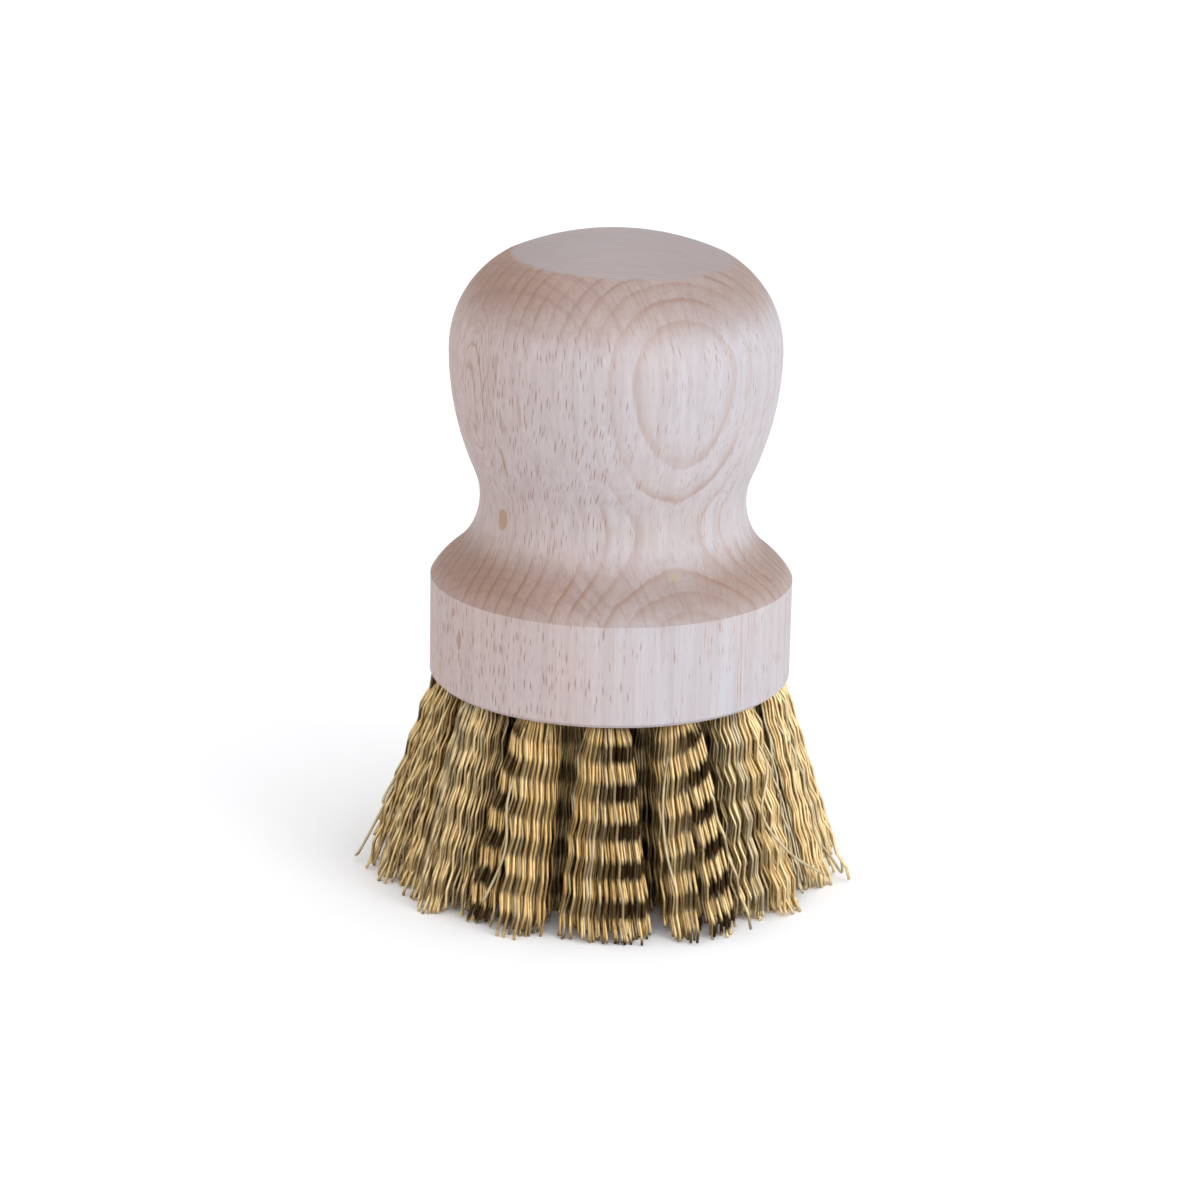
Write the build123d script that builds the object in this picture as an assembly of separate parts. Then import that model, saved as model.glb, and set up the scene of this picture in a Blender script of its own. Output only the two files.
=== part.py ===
"""Round hand brush for scrubbing soldering tips and small metal parts.

The body is one piece of turned beech: a palm knob, a waisted neck and a round block.
The block's flat underside has three rings of blind holes. Each hole holds one tuft, a bundle of
crimped brass wires folded in half over a flat wire anchor, whose two ends bite into the wood.
Millimetres, +Z up. The origin is on the brush's axis, in the plane that the wire tips stand on.
"""

import os
from math import cos, hypot, radians, sin, sqrt, tan

from build123d import *

# Heights of the whole brush.
free_length = 28.0  # underside of the block above the wire tips
body_height = 61.9  # underside of the block to the top of the knob

# Turned outline of the body, heights counted from its underside.
block_radius = 25.0
block_height = 14.1
underside_chamfer = 0.5
bead_radius = 11.1  # convex roll between the block's rim and the neck
neck_radius = 18.3
neck_height = 25.2
cove_radius = 10.1  # concave sweep of the neck
knob_radius = 22.7
knob_height = 46.0  # level where the knob is widest
shoulder_radius = 14.5
crease_radius = 15.6  # circle where the shoulder meets the domed top

# Drilled holes.
hole_radius = 2.8
hole_depth = 11.0  # to the drill's shoulder, along the hole
drill_half_angle = 59.0

# Wire bundles, seen as solid envelopes.
stem_clearance = 0.05
spread_start = 1.0  # beyond the hole's mouth, where the wires first spring apart
spread_end = 3.0
spread_radius = 3.5
past_tips = 4.0  # length that is trimmed away flat, to level the tips

# Anchors, cut from flat wire.
anchor_bite = 0.6  # how far each end enters the wood
anchor_thickness = 0.45
anchor_width = 1.8

# Rings of holes: how many, the first one's angle round from -Y, how far out and how much they lean,
# and each tuft's half widths at its tip.
rings = {
    "outer": {"count": 14, "turn": 0, "radius": 20.9, "lean": 16, "across": 6.0, "deep": 4.6},
    "middle": {"count": 9, "turn": 20, "radius": 13.0, "lean": 10, "across": 5.9, "deep": 5.1},
    "inner": {"count": 4, "turn": 0, "radius": 5.2, "lean": 4, "across": 4.8, "deep": 4.8},
}


def circles_meet(centre_a, radius_a, centre_b, radius_b):
    """Where two circles cross, on the left of the way from a to b."""
    dx, dz = centre_b[0] - centre_a[0], centre_b[1] - centre_a[1]
    apart = hypot(dx, dz)
    along = (radius_a**2 - radius_b**2 + apart**2) / (2 * apart)
    aside = sqrt(radius_a**2 - along**2)
    ux, uz = dx / apart, dz / apart
    return centre_a[0] + along * ux - aside * uz, centre_a[1] + along * uz + aside * ux


def towards(centre, target, distance):
    """The point that lies a distance from centre, on the line to target."""
    dx, dz = target[0] - centre[0], target[1] - centre[1]
    share = distance / hypot(dx, dz)
    return centre[0] + dx * share, centre[1] + dz * share


def lift(point):
    """A point of the outline, as radius and height, in the XZ plane above the wire tips."""
    return point[0], 0, point[1] + free_length


def arc(centre, radius, start, end):
    """The shorter arc from start to end about a centre."""
    middle = towards(centre, ((start[0] + end[0]) / 2, (start[1] + end[1]) / 2), radius)
    return ThreePointArc(lift(start), lift(middle), lift(end))


def body_outline():
    """Half of the turned body's section, closed along the axis."""
    rim = (block_radius, block_height)
    cove = (neck_radius + cove_radius, neck_height)
    bead = circles_meet(rim, bead_radius, cove, bead_radius + cove_radius)
    bead_end = towards(bead, cove, bead_radius)

    # The knob's side is tangent to the cove, and upright where the knob is widest.
    out, up = cove[0] - knob_radius, knob_height - neck_height
    side_radius = (out**2 + up**2 - cove_radius**2) / (2 * (cove_radius - out))
    side = (knob_radius - side_radius, knob_height)
    cove_end = towards(cove, side, cove_radius)

    widest = (knob_radius, knob_height)
    shoulder = (knob_radius - shoulder_radius, knob_height)
    rise = sqrt(shoulder_radius**2 - (crease_radius - shoulder[0]) ** 2)
    crease = (crease_radius, knob_height + rise)
    sag = body_height - crease[1]
    dome_radius = (crease_radius**2 + sag**2) / (2 * sag)
    dome = (0, body_height - dome_radius)
    top = (0, body_height)

    corner_in = (block_radius - underside_chamfer, 0)
    corner_out = (block_radius, underside_chamfer)
    return [
        Line(lift((0, 0)), lift(corner_in)),
        Line(lift(corner_in), lift(corner_out)),
        Line(lift(corner_out), lift(rim)),
        arc(bead, bead_radius, rim, bead_end),
        arc(cove, cove_radius, bead_end, cove_end),
        arc(side, side_radius, cove_end, widest),
        arc(shoulder, shoulder_radius, widest, crease),
        arc(dome, dome_radius, crease, top),
        Line(lift(top), lift((0, 0))),
    ]


def hole_places(ring):
    """Each hole's place: origin at its mouth, Z out of the hole, X around the ring."""
    for index in range(ring["count"]):
        around = radians(ring["turn"] + 360.0 * index / ring["count"] - 90)
        out = Vector(cos(around), sin(around), 0)
        lean = radians(ring["lean"])
        mouth = out * ring["radius"] + Vector(0, 0, free_length)
        axis = out * sin(lean) - Vector(0, 0, cos(lean))
        yield Plane(origin=mouth, x_dir=Vector(-out.Y, out.X, 0), z_dir=axis)


def upright(shape, low):
    """A centred shape, moved so that its lowest end is at a height."""
    return Pos(0, 0, low - shape.bounding_box().min.Z) * shape


def drilled_hole():
    """The drill's shape: a bore that runs out of the mouth, and the point's cone."""
    run_out = hole_radius * 2
    bore = upright(Cylinder(hole_radius, hole_depth + run_out), -hole_depth)
    point_length = hole_radius / tan(radians(drill_half_angle))
    point = upright(Cone(0, hole_radius, point_length), -hole_depth - point_length)
    return bore + point


def fold_height():
    """Centre of the bundle's round fold, where it rests in the drill point's cone."""
    stem_radius = hole_radius - stem_clearance
    half_angle = radians(drill_half_angle)
    return -hole_depth - hole_radius / tan(half_angle) + stem_radius / sin(half_angle)


def anchor():
    """A short flat of wire across the hole, over the fold of the bundle."""
    length = 2 * (hole_radius + anchor_bite)
    return upright(Box(length, anchor_thickness, anchor_width), fold_height())


def tuft(ring):
    """One bundle's envelope: round fold, stem in the hole, and the spreading free part."""
    stem_radius = hole_radius - stem_clearance
    fold = Pos(0, 0, fold_height()) * Sphere(stem_radius)
    stem = upright(Cylinder(stem_radius, spread_start - fold_height()), fold_height())
    spread = upright(Cone(stem_radius, spread_radius, spread_end - spread_start), spread_start)

    length = free_length / cos(radians(ring["lean"])) - spread_end
    grown = (length + past_tips) / length
    across = spread_radius + (ring["across"] - spread_radius) * grown
    deep = spread_radius + (ring["deep"] - spread_radius) * grown
    top = Pos(0, 0, spread_end) * Circle(spread_radius)
    tips = Pos(0, 0, spread_end + length + past_tips) * Ellipse(across, deep)
    return fold + stem + spread + loft([top.face(), tips.face()]) - anchor()


def main():
    os.makedirs("parts", exist_ok=True)
    handle = revolve(make_face(body_outline()), Axis.Z)
    below_tips = Pos(0, 0, -free_length / 2) * Box(
        6 * block_radius, 6 * block_radius, free_length
    )
    for name, ring in rings.items():
        for number, place in enumerate(hole_places(ring), start=1):
            seat = place.location
            handle -= seat * drilled_hole()
            handle -= seat * anchor()
            export_step(seat * tuft(ring) - below_tips, f"parts/tuft_{name}_{number:02d}.step")
            export_step(seat * anchor(), f"parts/anchor_{name}_{number:02d}.step")
    export_step(handle, "parts/handle.step")


main()
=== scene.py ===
import math

import bpy
import numpy as np
from mathutils import Matrix, Vector


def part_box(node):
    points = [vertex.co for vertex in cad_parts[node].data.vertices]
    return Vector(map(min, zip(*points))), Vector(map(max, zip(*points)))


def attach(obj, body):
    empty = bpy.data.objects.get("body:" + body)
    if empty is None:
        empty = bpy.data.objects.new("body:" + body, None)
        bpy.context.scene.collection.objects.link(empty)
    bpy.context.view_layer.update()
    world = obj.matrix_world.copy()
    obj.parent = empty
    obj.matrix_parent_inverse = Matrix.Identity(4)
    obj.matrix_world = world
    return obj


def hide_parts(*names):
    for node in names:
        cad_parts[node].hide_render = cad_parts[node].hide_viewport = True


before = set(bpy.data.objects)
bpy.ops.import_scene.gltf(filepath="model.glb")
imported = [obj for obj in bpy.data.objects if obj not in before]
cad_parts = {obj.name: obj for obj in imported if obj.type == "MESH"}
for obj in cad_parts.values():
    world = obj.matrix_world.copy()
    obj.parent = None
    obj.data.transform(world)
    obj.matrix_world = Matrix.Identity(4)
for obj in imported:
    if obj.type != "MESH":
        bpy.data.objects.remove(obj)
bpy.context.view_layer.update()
mm = 0.001
print("frame loaded,", len(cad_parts), "nodes")


class Value:
    # one output socket; arithmetic on it adds Math nodes to its material
    def __init__(self, paint, socket):
        self.paint = paint
        self.socket = socket

    def maths(self, operation, *others):
        inputs = dict(enumerate((self,) + others))
        return self.paint.node("ShaderNodeMath", {"operation": operation}, inputs)

    def flipped(self, operation, other):
        return self.paint.node("ShaderNodeMath", {"operation": operation}, {0: other, 1: self})

    def __add__(self, other):
        return self.maths("ADD", other)

    def __radd__(self, other):
        return self.flipped("ADD", other)

    def __sub__(self, other):
        return self.maths("SUBTRACT", other)

    def __rsub__(self, other):
        return self.flipped("SUBTRACT", other)

    def __mul__(self, other):
        return self.maths("MULTIPLY", other)

    def __rmul__(self, other):
        return self.flipped("MULTIPLY", other)

    def __truediv__(self, other):
        return self.maths("DIVIDE", other)

    def __pow__(self, other):
        return self.maths("POWER", other)

    def __neg__(self):
        return self.maths("MULTIPLY", -1.0)

    def __abs__(self):
        return self.maths("ABSOLUTE")

    def __mod__(self, other):
        return self.maths("FLOORED_MODULO", other)

    def beside(self, output):
        # another output of the same node
        return Value(self.paint, self.socket.node.outputs[output])

    def over(self, low, high):
        # 0 below low, 1 above high, smooth between; falls instead of rising if low > high
        return self.paint.node(
            "ShaderNodeMapRange",
            {"interpolation_type": "SMOOTHSTEP"},
            {"Value": self, "From Min": low, "From Max": high},
        )


class Paint:
    # the nodes of one material or world
    def __init__(self, owner):
        self.owner = owner
        owner.use_nodes = True
        self.tree = owner.node_tree
        self.tree.nodes.clear()

    def node(self, kind, settings=None, sockets=None, output=0):
        made = self.tree.nodes.new(kind)
        for key, setting in (settings or {}).items():
            setattr(made, key, setting)
        for key, value in (sockets or {}).items():
            if isinstance(value, Value):
                self.tree.links.new(value.socket, made.inputs[key])
            else:
                made.inputs[key].default_value = value
        return Value(self, made.outputs[output]) if len(made.outputs) else None

    def split(self, vector):
        first = self.node("ShaderNodeSeparateXYZ", None, {0: vector})
        return [first, first.beside(1), first.beside(2)]

    def join(self, x, y, z):
        return self.node("ShaderNodeCombineXYZ", None, {0: x, 1: y, 2: z})

    def scaled(self, vector, factors):
        return self.node("ShaderNodeVectorMath", {"operation": "MULTIPLY"}, {0: vector, 1: factors})

    def noise(self, vector, detail=2.0, roughness=0.5):
        sockets = {"Vector": vector, "Scale": 1.0, "Detail": detail, "Roughness": roughness}
        return self.node("ShaderNodeTexNoise", None, sockets)

    def cells(self, across, up):
        # distance to the nearest of the scattered points, one in each unit cell
        sockets = {"Vector": self.join(across, up, 0.0), "Scale": 1.0}
        return self.node("ShaderNodeTexVoronoi", {"voronoi_dimensions": "2D"}, sockets)

    def mixed(self, factor, first, second, blend="MIX"):
        # colours; sockets 6 and 7 are the colour pair of a Mix node
        pair = [c if isinstance(c, Value) else (*c, 1.0) for c in (first, second)]
        settings = {"data_type": "RGBA", "blend_type": blend}
        return self.node("ShaderNodeMix", settings, {0: factor, 6: pair[0], 7: pair[1]}, output=2)

    def bump(self, height, distance, strength):
        sockets = {"Height": height, "Distance": distance, "Strength": strength}
        return self.node("ShaderNodeBump", None, sockets)

    def finish(self, sockets):
        shader = self.node("ShaderNodeBsdfPrincipled", None, sockets)
        self.node("ShaderNodeOutputMaterial", None, {"Surface": shader})
        return self.owner


# bare beech; heights are above the block's underside, angles go round from -Y towards +X
beech = {
    "pithAngle": 25.0,  # the side on which the tree's pith would be
    "pithDistance": 50.0,  # mm from the brush's axis
    "firstRing": 29.40,  # mm from the pith
    "ringWidth": 2.10,  # mm
    "ringTilt": 0.042,  # how fast the rings lean away from the axis
    "levelHeight": 44.0,  # mm, where the lean counts from
    "swirl": (-55.0, 42.0, 4.8, 13.0),  # angle, height, half width, half height
    "swirlLift": 9.0,  # mm that the rings are pushed out in its middle
    "facetEdge": 58.70,  # mm, where the sanded top begins
    "dashesPerMm": (2.5, 0.29),  # around and up
    "fineDashesPerMm": (4.4, 0.50),
    "pale": (0.468, 0.412, 0.412),
    "late": (0.330, 0.205, 0.145),  # dense wood at the end of each year's growth
    "ray": (0.240, 0.150, 0.125),
    "endGrain": (0.660, 0.530, 0.440),  # what the colour is multiplied by where fibres end
    "leftPaintedLight": (1.01, 0.945, 0.905),  # the same for the left and the right: painted light, warmer and a little darker on the left, cooler and lighter on the right
    "rightPaintedLight": (0.965, 1.045, 1.085),
    # the top's grey is partly end grain and partly painted shade
    "top": (0.325, 0.275, 0.275),
    "topStreak": (0.350, 0.300, 0.302),
    "topRight": (0.86, 0.83, 0.82),  # the top's colour is multiplied by this towards +X
}

# small marks: angle, height, half width and half height in mm, colour, strength
beechMarks = {
    "knotStain": (-53.5, 24.6, 1.20, 1.75, (0.36, 0.23, 0.15), 0.85),
    "oliveFleck": (24.6, 19.3, 0.8, 0.40, (0.36, 0.31, 0.15), 0.55),
    "sideFleckUpper": (-58.0, 12.2, 0.45, 0.8, (0.36, 0.20, 0.16), 0.7),
    "sideFleckTall": (-54.5, 8.6, 0.5, 1.7, (0.36, 0.20, 0.15), 0.8),
    "sideFleckLow": (-68.0, 3.2, 0.7, 0.9, (0.42, 0.30, 0.20), 0.6),
    "knobSplit": (-44.5, 33.5, 0.32, 2.4, (0.30, 0.20, 0.15), 0.6),
    "knobSplitMiddle": (-42.5, 39.5, 0.28, 2.2, (0.30, 0.20, 0.15), 0.5),
    "knobSplitUpper": (-44.0, 46.5, 0.30, 3.0, (0.32, 0.21, 0.16), 0.5),
    "knobSplitInner": (-34.0, 41.0, 0.35, 2.0, (0.34, 0.23, 0.18), 0.5),
}


class Grain:
    # where a point of the handle lies in the wood, in mm, and the noises that several layers share
    def __init__(self, paint, underside):
        self.paint = paint
        place = paint.node("ShaderNodeTexCoord", None, None, output=3)
        self.inMm = paint.scaled(place, (1000.0, 1000.0, 1000.0))
        self.x, self.y, self.z = paint.split(self.inMm)
        self.height = self.z - underside
        self.normal = paint.split(paint.node("ShaderNodeNewGeometry", output=1))
        pith = math.radians(beech["pithAngle"])
        self.fromPithX = self.x - beech["pithDistance"] * math.sin(pith)
        self.fromPithY = self.y + beech["pithDistance"] * math.cos(pith)
        self.radius = (self.fromPithX * self.fromPithX + self.fromPithY * self.fromPithY) ** 0.5
        self.fine = self.noise((0.35, 0.35, 0.10))
        self.fibre = self.noise((2.4, 2.4, 0.06), detail=3.0, roughness=0.6)
        # fibres end on every surface that slopes
        slope = self.normal[2]
        self.ends = slope.over(0.22, 0.75).maths("MAXIMUM", slope.over(-0.80, -0.95))

    def noise(self, perMm, **settings):
        return self.paint.noise(self.paint.scaled(self.inMm, perMm), **settings)

    def patch(self, angle, level, halfWidth, halfHeight):
        # 1 at a place on the turned surface, through 0 on an ellipse around it
        turn = math.radians(angle)
        across = (self.x * math.cos(turn) + self.y * math.sin(turn)) / halfWidth
        up = (self.height - level) / halfHeight
        facing = (self.x * math.sin(turn) - self.y * math.cos(turn)).over(4.0, 8.0)
        return (1.0 - across * across - up * up) * facing


def growthRings(paint, grain):
    # late wood about the pith, slightly wavy, with a swirl that one side of the knob cuts
    height = grain.height
    swirl = grain.patch(*beech["swirl"]).over(0.0, 1.0)
    slow = grain.noise((0.040, 0.040, 0.020), detail=1.0)
    leaning = (beech["levelHeight"] - height) * beech["ringTilt"] + (slow - 0.5) * 0.9
    wavy = (grain.fine - 0.5) * 0.5 + (grain.fibre - 0.5) * 0.35
    ringed = grain.radius + leaning + wavy + swirl * beech["swirlLift"]
    count = (ringed - beech["firstRing"]) / beech["ringWidth"]
    part = count % 1.0
    yearly = paint.node("ShaderNodeTexWhiteNoise", {"noise_dimensions": "1D"},
                        {"W": count.maths("FLOOR")})
    fading = grain.noise((0.16, 0.16, 0.07))
    line = part.over(0.58, 0.90) ** 1.4 * part.over(1.0, 0.90)
    broad = part.over(0.25, 1.0) * part.over(1.0, 0.96)
    lateWood = line * (yearly * 0.9 + 0.3) * fading.over(0.25, 0.60) + broad * 0.28

    # the inner oval on the knob is plain inside
    plain = count.over(-0.8, -0.5).maths("MAXIMUM", height.over(28.0, 24.0))

    # rings show wide where the surface lies along them, and hardly on the block's side
    towardsPith = grain.normal[0] * grain.fromPithX + grain.normal[1] * grain.fromPithY
    alongRing = abs(towardsPith / grain.radius).over(0.55, 1.0)
    shown = 0.14 + 0.55 * alongRing.maths("MAXIMUM", grain.ends * 0.75) + swirl * 0.55
    return lateWood * plain, shown * (0.25 + 0.75 * height.over(12.5, 15.0))


def rayFigure(paint, grain, leftSide):
    # rays: short dark dashes along the fibres, fine ones between, and long lines across end grain
    outwards = (grain.x * grain.x + grain.y * grain.y) ** 0.5
    around = grain.x.maths("ARCTAN2", -grain.y) * 22.0  # mm on the turned surface
    around = around - outwards * 0.6 + (grain.fine - 0.5) * 0.9
    across, up = beech["dashesPerMm"]
    dashCell = paint.cells(around * across, grain.z * up)
    chance, length = paint.split(dashCell.beside(1))[:2]
    kept = (chance + leftSide * 0.45).over(0.55, 1.20)
    dashes = dashCell.over(0.18 + 0.22 * length, 0.05) * kept

    across, up = beech["fineDashesPerMm"]
    fineCell = paint.cells(around * across + 40.0, grain.z * up)
    fineDashes = fineCell.over(0.42, 0.12) * fineCell.beside(1).over(0.30, 1.0)

    fan = grain.fromPithY.maths("ARCTAN2", grain.fromPithX) * 60.0
    lines = paint.noise(paint.join(fan, grain.radius * 0.05, grain.z * 0.20), detail=1.0)
    return dashes, fineDashes, lines.over(0.54, 0.64) * grain.ends


def woodTone(paint, grain):
    # fibres and vessels along the brush's axis, broad clouds, and a drift from left to right that
    # is painted light: warmer and darker on the left, cooler and lighter on the right
    streak = grain.noise((0.75, 0.75, 0.028))
    cloud = grain.noise((0.055, 0.055, 0.03))
    layers = [
        (grain.fibre.over(0.3, 0.7), (0.945, 0.93, 0.925), (1.035, 1.04, 1.045)),
        (streak.over(0.3, 0.7), (0.955, 0.93, 0.925), (1.025, 1.035, 1.045)),
        (cloud.over(0.3, 0.7), (1.02, 0.985, 0.965), (0.985, 1.0, 1.02)),
        # painted light: tinted warmer and darker on the left, cooler and lighter on the right
        (grain.x.over(-20.0, 20.0), beech["leftPaintedLight"], beech["rightPaintedLight"]),
    ]
    colour = beech["pale"]
    for factor, low, high in layers:
        colour = paint.mixed(1.0, colour, paint.mixed(factor, low, high), "MULTIPLY")
    return colour


def sandedTop(paint, grain, colour):
    # the top was sanded across, flat and grey; its grey is partly end grain and partly painted
    # shade, set darker because the top gets less light than the front
    streaks = grain.noise((0.12, 1.6, 1.0), detail=3.0, roughness=0.65)
    grey = paint.mixed(streaks.over(0.3, 0.7), beech["top"], beech["topStreak"])
    dimmed = paint.mixed(1.0, grey, beech["topRight"], "MULTIPLY")
    grey = paint.mixed(grain.x.over(-4.0, 14.0), grey, dimmed)
    wander = grain.noise((0.5, 0.5, 0.5))
    onTop = grain.height + grain.x * 0.02 + (wander - 0.5) * 0.5 - beech["facetEdge"]
    return paint.mixed(onTop.over(-0.15, 0.2) * 0.9, colour, grey)


def beechMaterial(underside):
    paint = Paint(bpy.data.materials.new("bareBeech"))
    grain = Grain(paint, underside)
    ends = grain.ends
    leftSide = grain.x.over(9.0, -13.0)
    lateWood, shown = growthRings(paint, grain)
    dashes, fineDashes, rayLines = rayFigure(paint, grain, leftSide)

    colour = paint.mixed(lateWood * shown, woodTone(paint, grain), beech["late"])
    browned = paint.mixed(1.0, colour, beech["endGrain"], "MULTIPLY")
    colour = paint.mixed(ends * (0.70 + 0.30 * abs(grain.x).over(2.0, 18.0)), colour, browned)
    colour = paint.mixed(dashes * (0.85 - 0.60 * ends), colour, beech["ray"])
    faint = fineDashes * (0.14 + 0.12 * leftSide) * (1.0 - 0.7 * ends)
    colour = paint.mixed(faint, colour, beech["ray"])
    colour = paint.mixed(rayLines * 0.26, colour, beech["ray"])
    for *where, markColour, strength in beechMarks.values():
        ragged = grain.patch(*where) + (grain.fibre - 0.5) * 0.9
        colour = paint.mixed(ragged.over(0.05, 0.45) * strength, colour, markColour)
    colour = sandedTop(paint, grain, colour)

    relief = grain.fibre * 0.5 - dashes * 0.4 + lateWood * 0.15
    normal = paint.bump(relief, 0.00005, 0.6)
    roughness = 0.62 + 0.14 * grain.fibre - 0.06 * lateWood
    return paint.finish({"Base Color": colour, "Roughness": roughness, "Normal": normal,
                         "Specular IOR Level": 0.35})


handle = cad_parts["handle"]
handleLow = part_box("handle")[0]
blockUnderside = handleLow.z / mm
beechPaint = beechMaterial(blockUnderside)
handle.data.materials.clear()
handle.data.materials.append(beechPaint)
print("handle painted")


# brass wire; a wire's attributes are its painted shade (dark where its flank leans away), shade
# (its tone, partly painted light) and dullness (0 to 1)
brass = {
    "bright": (0.930, 0.765, 0.450),
    "gold": (0.610, 0.402, 0.145),
    "dull": (0.520, 0.470, 0.340),  # wires that have lost their colour
    "deep": (0.050, 0.028, 0.012),  # painted shade on the crimps' flanks that lean away
    "roughness": 0.50,
}


def wireMaterial():
    paint = Paint(bpy.data.materials.new("brassWire"))
    paintedShade, shade, dullness = [
        paint.node("ShaderNodeAttribute", {"attribute_name": name}, None, output=2)
        for name in ("paintedShade", "shade", "dullness")
    ]
    place = paint.node("ShaderNodeTexCoord", None, None, output=3)
    film = paint.noise(paint.scaled(place, (900.0, 900.0, 500.0)), detail=2.0)
    colour = paint.mixed(shade, brass["gold"], brass["bright"])
    colour = paint.mixed(dullness.over(0.80, 0.97) * 0.8, colour, brass["dull"])
    cloudy = paint.mixed(film.over(0.35, 0.75), (1.0, 1.0, 1.0), (0.80, 0.74, 0.66))
    colour = paint.mixed(1.0, colour, cloudy, "MULTIPLY")
    # painted shade: the flanks that lean away are darkened to deep brown
    colour = paint.mixed(paintedShade, colour, brass["deep"])
    roughness = brass["roughness"] + 0.12 * film + 0.12 * paintedShade
    return paint.finish({"Base Color": colour, "Metallic": 1.0, "Roughness": roughness})


def anchorMaterial():
    paint = Paint(bpy.data.materials.new("rolledFlatWire"))
    place = paint.node("ShaderNodeTexCoord", None, None, output=3)
    drawn = paint.noise(paint.scaled(place, (9000.0, 9000.0, 700.0)), detail=2.0)
    colour = paint.mixed(drawn, (0.62, 0.46, 0.20), (0.80, 0.63, 0.32))
    normal = paint.bump(drawn, 0.00002, 0.4)
    roughness = 0.28 + 0.2 * drawn
    return paint.finish({"Base Color": colour, "Metallic": 1.0, "Roughness": roughness,
                         "Normal": normal})


wirePaint = wireMaterial()
anchorPaint = anchorMaterial()
for name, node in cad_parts.items():
    if name.startswith("anchor_"):
        node.data.materials.clear()
        node.data.materials.append(anchorPaint)

# tufts of crimped wire, each folded over its anchor; sizes in mm
ringLean = {"outer": 16.0, "middle": 10.0, "inner": 4.0}  # degrees that the holes lean out

tuft = {
    "stemRadius": 2.62,  # of the bundle inside its hole
    "sprungRadius": 3.60,  # once the wires have sprung apart, below the hole
    "wider": 1.14,  # the bundle's end against the envelope's, around the ring
    "clumps": 7,  # that the wires of a tuft draw together into
    "clumped": 0.40,
    "wireRadius": 0.20,
    "wireSides": 6,
    "spacing": 0.365,  # between wires in the hole
    "anchorHalf": 0.225,  # half the anchor's thickness
    "anchorRise": 0.9,  # from the anchor's middle to its deep edge, where wires fold
    "foldPoints": 7,
    "gapClosed": 0.28,  # how the two halves close in below the anchor: first moved, then stretched
    "gapStretch": 1.12,
    "springLength": 0.9,  # below the hole, over which the wires spring apart
    "crimpPitch": 5.2,
    "crimpHeight": 0.31,  # each way from the middle
    "cornerRound": 0.17,  # of half a pitch
    "bow": 0.20,  # how much single wires curve, one way and both ways
    "sway": 0.12,
    "uneven": 3.0,  # how much shorter than the longest the wires may be
    "unruly": 0.10,  # share of the wires that stand out of line
    "unrulyReach": 1.2,
    "seed": 7,
}

# how a tuft's wires lie and look: the angle they bend in (0 around the ring, 90 outwards), where
# the crimps start, how that changes across and deep in the tuft and from wire to wire (in
# pitches), how strong the painted shade on the leaning flanks is and how bright the tuft's wires
# are painted (painted light: tufts to the sides, which get more light, are brighter)
wireLies = {
    "tuft_outer_01": (62.0, 0.30, 0.05, 0.10, 0.035, 1.05, 0.00),
    "tuft_outer_02": (84.0, 0.05, -0.38, 0.06, 0.022, 1.10, 0.55),
    "tuft_outer_03": (58.0, 0.55, -0.20, 0.15, 0.060, 0.45, 1.05),
    "tuft_outer_04": (25.0, 0.20, 0.30, 0.20, 0.110, 0.20, 1.20),
    "tuft_outer_05": (35.0, 0.70, 0.20, 0.30, 0.120, 0.30, 1.10),
    "tuft_outer_12": (48.0, 0.10, 0.35, 0.25, 0.330, 0.50, 0.75),
    "tuft_outer_13": (66.0, 0.45, 0.20, 0.12, 0.110, 0.60, 0.80),
    "tuft_outer_14": (30.0, 0.85, 0.12, 0.12, 0.060, 0.90, 0.05),
    "tuft_middle_01": (88.0, 0.50, 0.30, 0.10, 0.030, 1.10, 0.60),
    "tuft_middle_09": (88.0, 0.30, 0.10, 0.10, 0.030, 1.10, 0.60),
}


def smoothRise(value, low, high):
    t = np.clip((value - low) / (high - low), 0.0, 1.0)
    return t * t * (3.0 - 2.0 * t)


def stemPlaces():
    # wires on one side of the anchor, packed as they lie in the hole
    places = []
    row = 0
    y = tuft["anchorHalf"] + tuft["wireRadius"] + 0.03
    while y < tuft["stemRadius"] - tuft["wireRadius"]:
        x = (row % 2) * tuft["spacing"] / 2 - tuft["stemRadius"]
        while x < tuft["stemRadius"]:
            if math.hypot(x, y) < tuft["stemRadius"] - tuft["wireRadius"]:
                places.append((x, y))
            x += tuft["spacing"]
        y += tuft["spacing"] * 0.87
        row += 1
    return places


def crimpWave(turns):
    # rounded zigzag, -1 to 1, one period per turn
    return 2.0 / math.pi * np.arcsin(0.985 * np.sin(2.0 * math.pi * turns))


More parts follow.
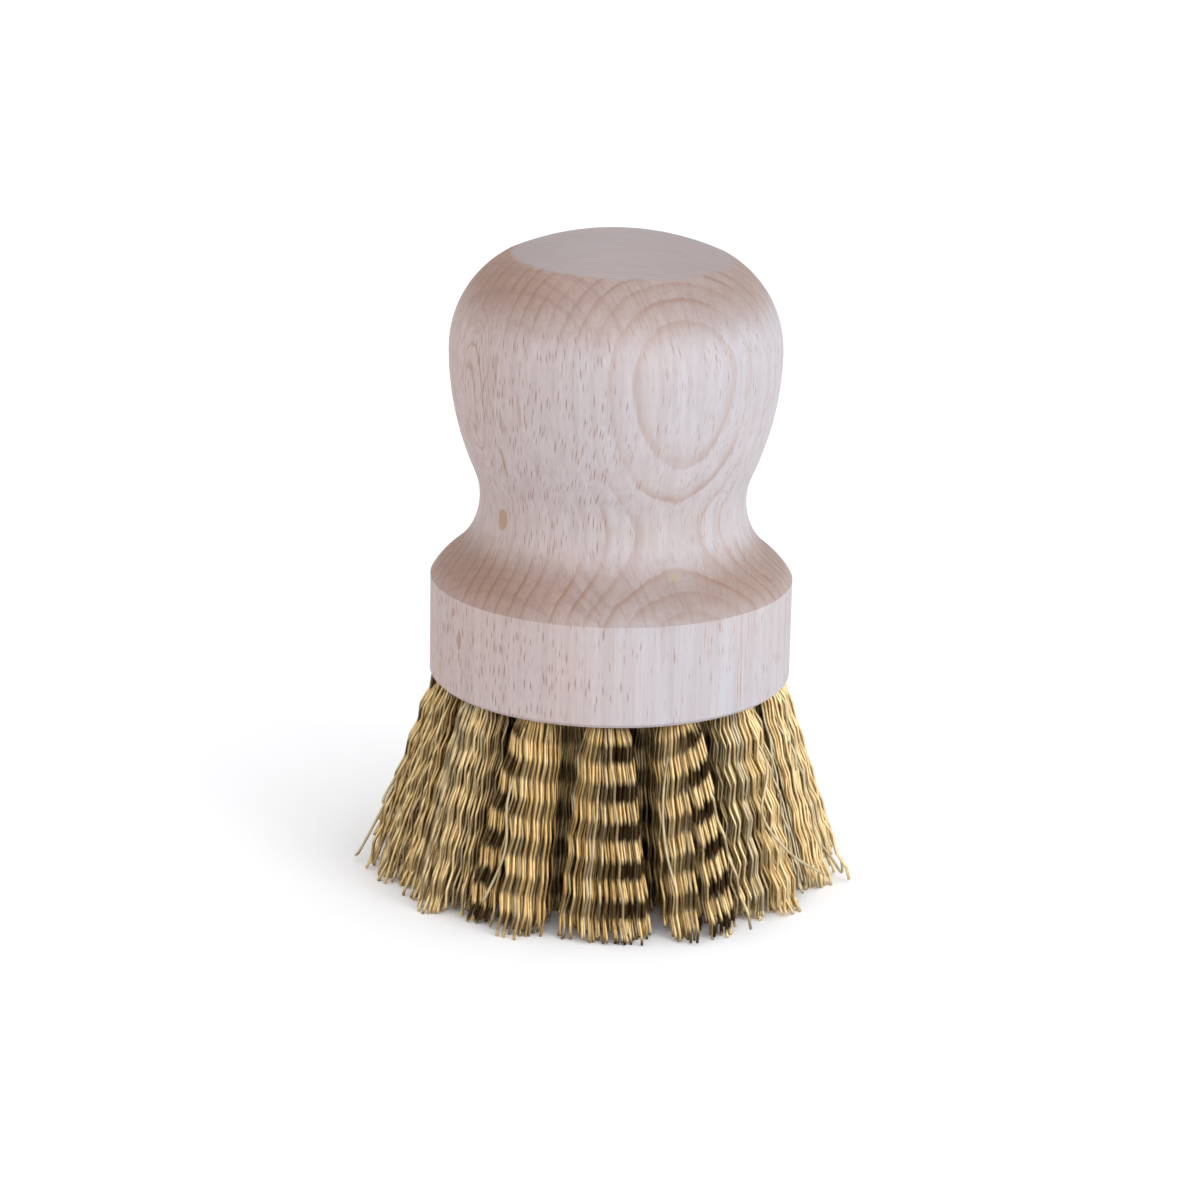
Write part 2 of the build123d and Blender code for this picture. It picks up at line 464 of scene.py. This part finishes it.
def crimpedPath(stem, tip, length, crimp, draw):
    # points of one wire from the hole's mouth to its tip (across, deep, along), and their painted
    # shade
    phase, turn, height, paintedShadeContrast = crimp
    half = tuft["crimpPitch"] / 2
    corners = np.arange(math.ceil(-2 * phase), 2 * (length / tuft["crimpPitch"] - phase) + 1)
    corners = (corners / 2 + phase + 0.25) * tuft["crimpPitch"]
    rounding = np.array([-1.0, 0.0, 1.0]) * tuft["cornerRound"] * half
    along = (corners[:, None] + rounding).ravel()
    along = along[(along > 0.35) & (along < length - 0.25)]
    along = np.concatenate([[0.0], along, [length]])
    sprung = stem * tuft["sprungRadius"] / tuft["stemRadius"]
    soon = (1.0 - np.exp(-along / tuft["springLength"]))[:, None]
    later = (np.clip(along - 1.5, 0.0, None) / (length - 1.5))[:, None]
    t = along / length
    bow = np.sin(math.pi * t)[:, None] * draw.normal(0.0, tuft["bow"], 2)
    bow += np.sin(2.0 * math.pi * t)[:, None] * draw.normal(0.0, tuft["sway"], 2)
    wave = crimpWave(along / tuft["crimpPitch"] - phase)
    size = height * smoothRise(along, 0.0, 1.4)
    side = np.stack([np.cos(turn) * wave * size, np.sin(turn) * wave * size], 1)
    flat = stem + (sprung - stem) * soon + (tip - sprung) * later + bow + side
    slope = np.cos(2.0 * math.pi * (along / tuft["crimpPitch"] - phase))
    # painted shade on the half of each crimp that leans away
    paintedShade = smoothRise(-slope, -0.35, 0.35) * paintedShadeContrast
    return np.column_stack([flat, along]), paintedShade


def tubeMesh(points, radius, sides, sideways):
    # a round tube along the points; sideways is never along the wire
    ahead = np.gradient(points, axis=0)
    ahead /= np.linalg.norm(ahead, axis=1)[:, None]
    first = np.cross(ahead, sideways)
    first /= np.linalg.norm(first, axis=1)[:, None]
    second = np.cross(ahead, first)
    angle = (np.arange(sides) * 2.0 * math.pi / sides)[None, :, None]
    ring = np.cos(angle) * first[:, None] + np.sin(angle) * second[:, None]
    return (points[:, None] + radius * ring).reshape(-1, 3)


def tubeFaces(count, sides, start):
    row = np.arange(sides)
    base = np.arange(count - 1)[:, None] * sides + start
    quads = np.stack([base + row, base + (row + 1) % sides,
                      base + sides + (row + 1) % sides, base + sides + row], 2).reshape(-1, 4)
    # the flat ends of a tube with six sides
    near = np.array([[0, 5, 4, 3], [0, 3, 2, 1]]) + start
    far = np.array([[0, 1, 2, 3], [0, 3, 4, 5]]) + start + (count - 1) * sides
    return np.concatenate([quads, near, far])


def meshFrom(name, vertices, faces, attributes):
    mesh = bpy.data.meshes.new(name)
    mesh.vertices.add(len(vertices))
    mesh.vertices.foreach_set("co", (vertices * mm).astype(np.float32).ravel())
    mesh.loops.add(faces.size)
    mesh.loops.foreach_set("vertex_index", faces.astype(np.int32).ravel())
    mesh.polygons.add(len(faces))
    mesh.polygons.foreach_set("loop_start", np.arange(0, faces.size, 4, dtype=np.int32))
    mesh.polygons.foreach_set("use_smooth", np.ones(len(faces), dtype=bool))
    for key, values in attributes.items():
        made = mesh.attributes.new(key, "FLOAT", "POINT")
        made.data.foreach_set("value", values.astype(np.float32))
    mesh.update(calc_edges=True)
    return mesh


class Bundle:
    # wires of one tuft, gathered into one mesh
    def __init__(self):
        self.vertices, self.faces = [], []
        self.attributes = {"paintedShade": [], "shade": [], "dullness": []}
        self.start = 0

    def addWire(self, points, paintedShade, shade, dullness, sideways):
        sides = tuft["wireSides"]
        solid = tubeMesh(points, tuft["wireRadius"], sides, sideways)
        self.vertices.append(solid)
        self.faces.append(tubeFaces(len(points), sides, self.start))
        self.attributes["paintedShade"].append(np.repeat(paintedShade, sides))
        self.attributes["shade"].append(np.full(len(solid), shade))
        self.attributes["dullness"].append(np.full(len(solid), dullness))
        self.start += len(solid)

    def mesh(self, name):
        placed = np.concatenate(self.vertices)
        placed[:, 2] = np.maximum(placed[:, 2], 0.0)
        attributes = {key: np.concatenate(parts) for key, parts in self.attributes.items()}
        return meshFrom(name, placed, np.concatenate(self.faces), attributes)


def tuftAxes(name):
    # the hole's mouth, and the directions around the ring, deep and along, in mm
    ring = name.split("_")[1]
    low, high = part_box(name.replace("tuft", "anchor"))
    middle = np.array((low + high) / 2) / mm
    out = np.array([middle[0], middle[1], 0.0])
    out /= np.linalg.norm(out)
    lean = math.radians(ringLean[ring])
    along = out * math.sin(lean) - np.array([0.0, 0.0, math.cos(lean)])
    around = np.array([-out[1], out[0], 0.0])
    deep = np.cross(along, around)
    drop = (middle[2] - blockUnderside) / math.cos(lean)
    return middle + along * drop, drop, around, deep, along


def tipReach(name, mouth, around, deep):
    # half widths of the envelope's end and its middle, measured across and deep
    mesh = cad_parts[name].data
    points = np.empty(len(mesh.vertices) * 3, np.float32)
    mesh.vertices.foreach_get("co", points)
    points = points.reshape(-1, 3) / mm
    ends = points[points[:, 2] < 0.01] - mouth
    across = (ends @ around).max()
    reach = ends @ deep
    return across, (reach.max() - reach.min()) / 2, (reach.max() + reach.min()) / 2


def wireLie(name, draw):
    # as listed, or any
    return wireLies.get(name, (
        draw.uniform(20.0, 90.0), draw.random(), draw.uniform(-0.3, 0.3),
        draw.uniform(-0.2, 0.2), draw.uniform(0.03, 0.12), draw.uniform(0.5, 0.9), draw.random()))


# wires that have sprung out of their tuft: points as angle round from -Y, radius and height
strays = {
    "tuft_outer_12": [
        [(-80.0, 26.2, 19.3), (-82.0, 31.3, 10.2), (-79.0, 30.9, 9.4)],
        [(-84.0, 28.5, 14.0), (-85.0, 32.4, 6.0), (-86.0, 34.6, 1.4), (-84.0, 35.3, 1.0)],
    ],
    "tuft_outer_04": [
        [(72.0, 24.6, 23.0), (74.0, 26.6, 19.5), (71.0, 27.6, 17.0)],
        [(76.0, 29.0, 9.0), (78.0, 32.3, 3.2), (80.0, 33.6, 0.8), (79.0, 33.6, 3.0)],
    ],
    "tuft_outer_03": [
        [(52.0, 27.3, 21.0), (47.0, 28.8, 14.5), (52.0, 31.4, 9.0), (62.0, 33.6, 4.5)],
    ],
    "tuft_outer_14": [
        [(-29.0, 27.0, 18.0), (-27.0, 29.5, 11.0), (-30.5, 32.0, 4.0)],
    ],
    "tuft_outer_02": [
        [(17.0, 26.0, 20.0), (16.0, 28.6, 13.0), (18.5, 30.2, 6.5)],
    ],
}


strayPoints = 6  # between two listed points


def strayPath(mouth, path):
    # a smooth path from the mouth through the listed points
    turned = [np.array([math.sin(math.radians(a)) * r, -math.cos(math.radians(a)) * r, h])
              for a, r, h in path]
    knots = np.array([mouth] + turned)
    padded = np.concatenate([[2 * knots[0] - knots[1]], knots, [2 * knots[-1] - knots[-2]]])
    points = []
    for index in range(len(path)):
        before, start, end, after = padded[index:index + 4]
        for t in np.arange(strayPoints) / strayPoints:
            points.append(start + t * (end - before) / 2
                          + t * t * (before - 2.5 * start + 2 * end - after / 2)
                          + t * t * t * (1.5 * (start - end) + (after - before) / 2))
    return np.array(points + [knots[-1]])


class Spread:
    # where one tuft's wires leave their hole and how they open out; places across, deep and along
    def __init__(self, name, draw):
        self.mouth, self.depth, self.around, self.deep, self.along = tuftAxes(name)
        across, deepHalf, self.middle = tipReach(name, self.mouth, self.around, self.deep)
        self.lie = wireLie(name, draw)
        self.grow = np.array([across * tuft["wider"], deepHalf]) / tuft["stemRadius"]
        self.clumps = draw.uniform(-0.75, 0.75, (tuft["clumps"], 2)) * tuft["stemRadius"]
        self.patchTurn = draw.uniform(0.0, 2.0 * math.pi)

    def tip(self, start, draw):
        # where a wire's tip comes to, and whether the wire stands out of line
        share = start / tuft["stemRadius"]
        clump = self.clumps[np.argmin(np.linalg.norm(self.clumps - start, axis=1))]
        gathered = start + (clump - start) * tuft["clumped"]
        tip = gathered * self.grow * (1.0 + 0.2 * tuft["clumped"])
        tip += [0.0, self.middle] + draw.normal(0.0, 0.25 + 0.35 * share @ share, 2)
        unruly = draw.random() < tuft["unruly"]
        if unruly:
            tip += draw.normal(0.0, tuft["unrulyReach"], 2)
        return tip, unruly

    def freeEnd(self, x, y, side, draw):
        # one end of a wire below the hole, and its painted shade
        lean, start, slantAcross, slantDeep, apart, paintedShadeContrast = self.lie[:6]
        closed = np.array([x, side * (y - tuft["gapClosed"]) * tuft["gapStretch"]])
        share = closed / tuft["stemRadius"]
        tip, unruly = self.tip(closed, draw)
        phase = start + share @ [slantAcross, slantDeep] + draw.normal(0.0, apart)
        turn = math.radians(lean) + 0.20 * share[0] + draw.normal(0.0, 0.08 + apart)
        height = tuft["crimpHeight"] * draw.uniform(0.8, 1.2)
        patchy = 0.8 + 0.35 * math.cos(2.6 * share[0] + 1.9 * share[1] + self.patchTurn)
        # how strong the painted shade is on this wire
        paintedShadeStrength = paintedShadeContrast * patchy * draw.uniform(0.75, 1.0) * (0.5 if unruly else 1.0)
        short = tuft["uneven"] * draw.random() ** 2.2
        length = (self.mouth[2] - short + tip[1] * self.deep[2]) / -self.along[2]
        crimp = (phase % 1.0, turn, height, min(1.0, paintedShadeStrength))
        return crimpedPath(np.array([x, side * y]), tip, length, crimp, draw)

    def fold(self, x, y):
        # the half turn over the anchor
        angle = np.linspace(0.0, math.pi, tuft["foldPoints"])
        along = -self.depth - tuft["anchorRise"] - y * np.sin(angle)
        return np.column_stack([np.full(len(angle), x), y * np.cos(angle), along])

    def placed(self, local):
        across, deep, along = local[:, :1], local[:, 1:2], local[:, 2:]
        return self.mouth + across * self.around + deep * self.deep + along * self.along


def makeTuft(name, number):
    draw = np.random.default_rng(tuft["seed"] + number)
    spread = Spread(name, draw)
    tuftPaintedLight = spread.lie[-1]
    bundle = Bundle()
    for x, y in stemPlaces():
        x += draw.normal(0.0, 0.02)
        first, firstPaintedShade = spread.freeEnd(x, y, 1.0, draw)
        second, secondPaintedShade = spread.freeEnd(x, y, -1.0, draw)
        fold = spread.fold(x, y)
        local = np.concatenate([first[::-1], fold, second])
        paintedShade = np.concatenate([firstPaintedShade[::-1], np.zeros(len(fold)), secondPaintedShade])
        # each wire's tone: partly random, partly the tuft's painted light
        shade = 0.55 * draw.random() + 0.45 * tuftPaintedLight
        bundle.addWire(spread.placed(local), paintedShade, shade, draw.random(), spread.around)
    for path in strays.get(name, []):
        points = strayPath(spread.mouth, path)
        bundle.addWire(points, np.zeros(len(points)), 0.6, 0.95, spread.around)
    piece = bpy.data.objects.new(name.replace("tuft", "wires"), bundle.mesh(name))
    piece.data.materials.append(wirePaint)
    bpy.context.scene.collection.objects.link(piece)
    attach(piece, "root")
    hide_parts(name)
    return piece


tuftNames = sorted(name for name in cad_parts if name.startswith("tuft_"))
wirePieces = [makeTuft(name, number) for number, name in enumerate(tuftNames)]
print("tufts made,", sum(len(piece.data.polygons) for piece in wirePieces), "faces")


# floor, light and camera
studio = {
    "floorSize": 60.0,
    "floorColour": (0.91, 0.91, 0.92),
    "skyStrength": 1.12,
    "skyBright": (1.26, 1.30, 1.36),
    "skyDim": (0.72, 0.69, 0.65),
    "brightAngle": 60.0,  # round from -Y towards +X
    "brightHeight": 12.0,
    "haze": (0.93, 0.93, 0.93),  # the least bright that the sky is near the horizon
}

lamps = {
    # name: azimuth from -Y towards +X, elevation, distance, size, power
    "keyRight": (48.0, 22.0, 1.1, 0.55, 3.6),
}


def makeFloor():
    half = studio["floorSize"] / 2
    corners = [(-half, -half, 0.0), (half, -half, 0.0), (half, half, 0.0), (-half, half, 0.0)]
    mesh = bpy.data.meshes.new("floor")
    mesh.from_pydata(corners, [], [(0, 1, 2, 3)])
    paint = Paint(bpy.data.materials.new("paleFloor"))
    place = paint.node("ShaderNodeTexCoord", None, None, output=3)
    grain = paint.noise(paint.scaled(place, (40.0, 40.0, 40.0)), detail=3.0)
    colour = paint.mixed(grain, studio["floorColour"], (0.93, 0.93, 0.935))
    mesh.materials.append(paint.finish({"Base Color": colour, "Roughness": 0.9,
                                        "Specular IOR Level": 0.1}))
    floor = bpy.data.objects.new("floor", mesh)
    bpy.context.scene.collection.objects.link(floor)


def aimed(target, azimuth, elevation, distance):
    a, e = math.radians(azimuth), math.radians(elevation)
    back = Vector((math.sin(a) * math.cos(e), -math.cos(a) * math.cos(e), math.sin(e)))
    turned = (-back).to_track_quat("-Z", "Y").to_matrix().to_4x4()
    return Matrix.Translation(target + back * distance) @ turned


def makeLamp(name, azimuth, elevation, distance, size, power):
    light = bpy.data.lights.new(name, "AREA")
    light.shape = "DISK"
    light.size = size
    light.energy = power
    lamp = bpy.data.objects.new(name, light)
    lamp.matrix_world = aimed(Vector((0.0, 0.0, 0.05)), azimuth, elevation, distance)
    bpy.context.scene.collection.objects.link(lamp)


def makeSky():
    # a white dome, brighter towards the side that the main light comes from
    world = bpy.data.worlds.new("sky")
    bpy.context.scene.world = world
    paint = Paint(world)
    direction = paint.node("ShaderNodeTexCoord")
    a, e = math.radians(studio["brightAngle"]), math.radians(studio["brightHeight"])
    towards = (math.sin(a) * math.cos(e), -math.cos(a) * math.cos(e), math.sin(e))
    lit = paint.node("ShaderNodeVectorMath", {"operation": "DOT_PRODUCT"},
                     {0: direction, 1: towards}, output=1)
    colour = paint.mixed(lit * 0.5 + 0.5, studio["skyDim"], studio["skyBright"])
    nearHorizon = abs(paint.split(direction)[2]).over(0.17, 0.10)
    colour = paint.mixed(nearHorizon, colour, studio["haze"], "LIGHTEN")
    shader = paint.node("ShaderNodeBackground", None,
                        {"Color": colour, "Strength": studio["skyStrength"]})
    paint.node("ShaderNodeOutputWorld", None, {"Surface": shader})


view = {
    "distance": 0.500,
    "aboveBlock": 0.030,  # the point on the axis that the camera circles, above the underside
    "elevation": 15.1,
    "lens": 109.5,
    "lookDown": 2.17,  # degrees that the camera looks below that point
    "lookLeft": 0.17,
    "roll": 1.2,
}


def makeCamera():
    data = bpy.data.cameras.new("camera")
    data.lens = view["lens"]
    data.sensor_width = 36.0
    data.clip_start = 0.01
    data.clip_end = 100.0
    camera = bpy.data.objects.new("camera", data)
    target = Vector((0.0, 0.0, handleLow.z + view["aboveBlock"]))
    placed = aimed(target, 0.0, view["elevation"], view["distance"])
    for angle, axis in ((-view["lookDown"], "X"), (view["lookLeft"], "Y"), (view["roll"], "Z")):
        placed = placed @ Matrix.Rotation(math.radians(angle), 4, axis)
    camera.matrix_world = placed
    bpy.context.scene.collection.objects.link(camera)
    bpy.context.scene.camera = camera


makeFloor()
makeSky()
for name, setting in lamps.items():
    makeLamp(name, *setting)
makeCamera()
bpy.context.scene.view_settings.view_transform = "Standard"
print("studio ready")
